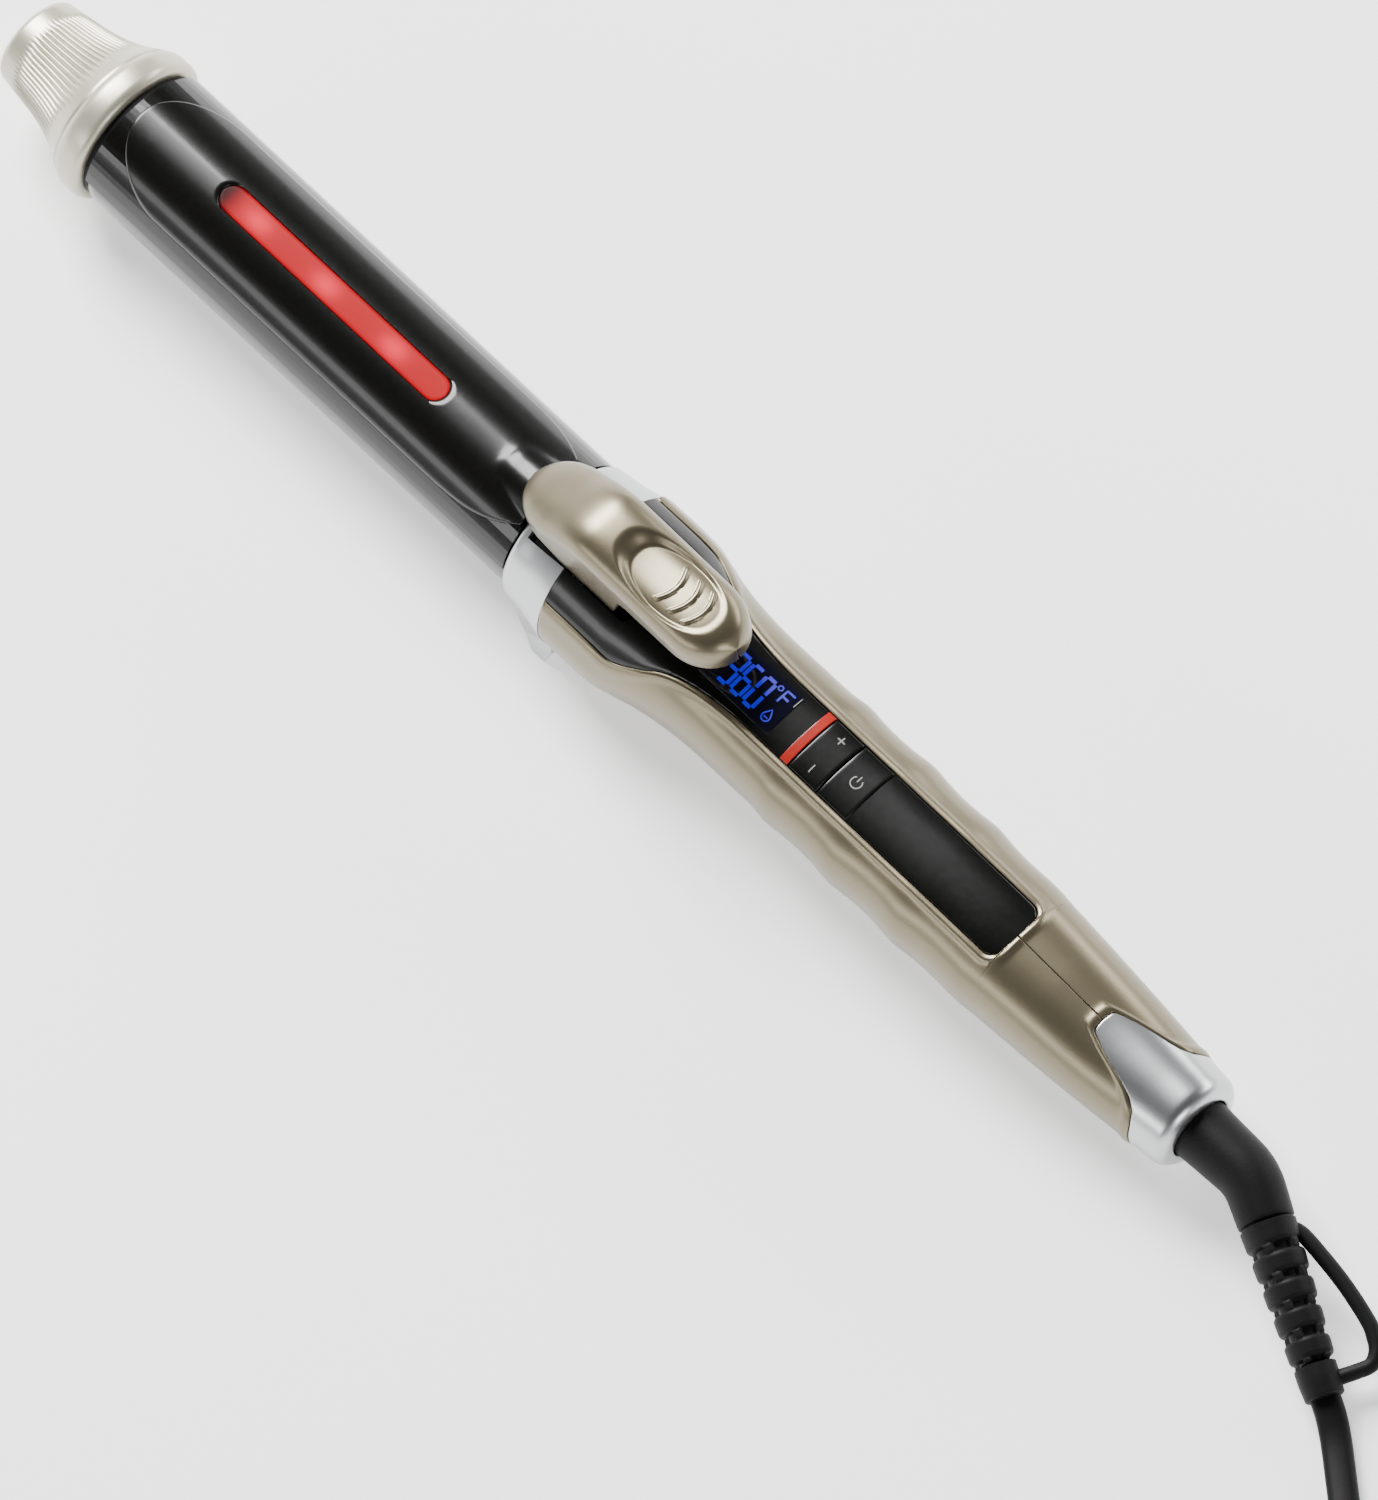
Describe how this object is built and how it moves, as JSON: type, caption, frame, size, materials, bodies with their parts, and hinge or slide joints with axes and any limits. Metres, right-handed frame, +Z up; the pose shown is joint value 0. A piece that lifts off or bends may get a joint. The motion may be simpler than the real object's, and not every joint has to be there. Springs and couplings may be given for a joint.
{
  "type": "hair curling iron",
  "caption": "Barrel curling iron with a spring clip and thumb lever, cool tip, lit window, display with keys, stand feet and a swivel cord with a two-blade plug.",
  "frame": {"origin": "centre of the bottom of the iron's box, on the table under the barrel and handle, measured without the free cord", "axes": "+X from the cool tip towards the cord, along the barrel; +Z up, the side with the thumb lever and the display; +Y to the left seen from the tip's side of the handle"},
  "size_m": [0.5292, 0.0896, 0.0538],
  "materials": {
    "tip_champagne": "satin, ribbed",
    "champagne": "satin lacquer",
    "silver_satin": "satin, metallic lacquer",
    "black_coating": "semi-gloss ceramic coating",
    "black_gloss": "gloss",
    "black_matte": "fine grain",
    "cord_black": "matte",
    "steel": "plain",
    "aluminium": "as extruded",
    "ceramic": "plain",
    "red_wire": "plain",
    "display_glass": "gloss, lit digits",
    "display_body": "plain",
    "accent_red": "gloss",
    "board_green": "plain",
    "contact_brass": "plain",
    "window_red": "gloss, lit from behind",
    "lamp_pink": "lit"
  },
  "bodies": {
    "handle": {"cool_tip_cap": "tip_champagne", "tip_insulator_ring": "black_matte", "tip_screw": "steel", "barrel": "black_coating", "barrel_nose_plug": "steel", "heat_spreader_upper": "aluminium", "heat_spreader_lower": "aluminium", "ptc_heater": "ceramic", "thermistor": "ceramic", "thermal_fuse": "ceramic", "heater_leads": "red_wire", "barrel_base_insulator": "ceramic", "collar_ring": "silver_satin", "hinge_bracket": "steel", "hinge_pin": "steel", "lever_spring": "steel", "handle_shell_left": "champagne", "handle_shell_right": "champagne", "control_panel": "black_gloss", "display_window": "display_glass", "display_module": "display_body", "accent_stripe": "accent_red", "display_board": "board_green", "tact_switches": "black_matte", "power_board": "board_green", "power_components": "black_matte", "terminal_block": "board_green", "shell_screws": "steel", "tail_cap": "silver_satin", "swivel_bush": "ceramic", "slip_ring_brushes": "contact_brass"},
    "clip": {"clip_plate": "black_coating", "clip_cover": "black_gloss", "light_window": "window_red", "lamp_strip": "board_green", "lamps": "lamp_pink", "clip_bracket": "steel", "clip_rivets": "steel", "thumb_lever": "champagne", "lever_screws": "steel"},
    "rocker": {"rocker_key": "black_gloss"},
    "power_button": {"power_key": "black_gloss"},
    "cord_swivel": {"swivel_elbow": "black_matte", "slip_rings": "contact_brass", "strain_relief": "cord_black", "hang_loop": "cord_black", "cord_lead": "cord_black", "cord_coil": "cord_black", "cord_end": "cord_black", "plug_body": "cord_black", "plug_blades": "contact_brass"}
  },
  "joints": [
    {"name": "clip_pivot", "type": "hinge", "parent": "handle", "child": "clip", "pos_m": [-0.0225, 0, 0.0405], "axis": [0, 1, 0], "range_deg": [0, 9.5], "stiffness_Nm_per_rad": 0.6, "springref_deg": -14.32, "deforming": ["lever_spring"]},
    {"name": "rocker_tilt", "type": "hinge", "parent": "handle", "child": "rocker", "pos_m": [0.054, 0, 0.0306], "axis": [1, 0, 0], "range_deg": [-1.8, 1.8], "stiffness_Nm_per_rad": 0.17},
    {"name": "power_press", "type": "slide", "parent": "handle", "child": "power_button", "axis": [0, 0, -1], "range_m": [0, 0.0004], "stiffness_N_per_m": 1500, "springref_m": -0.0003},
    {"name": "cord_swivel_turn", "type": "hinge", "parent": "handle", "child": "cord_swivel", "pos_m": [0.163, 0, 0.015], "axis": [1, 0, 0], "continuous": true}
  ]
}
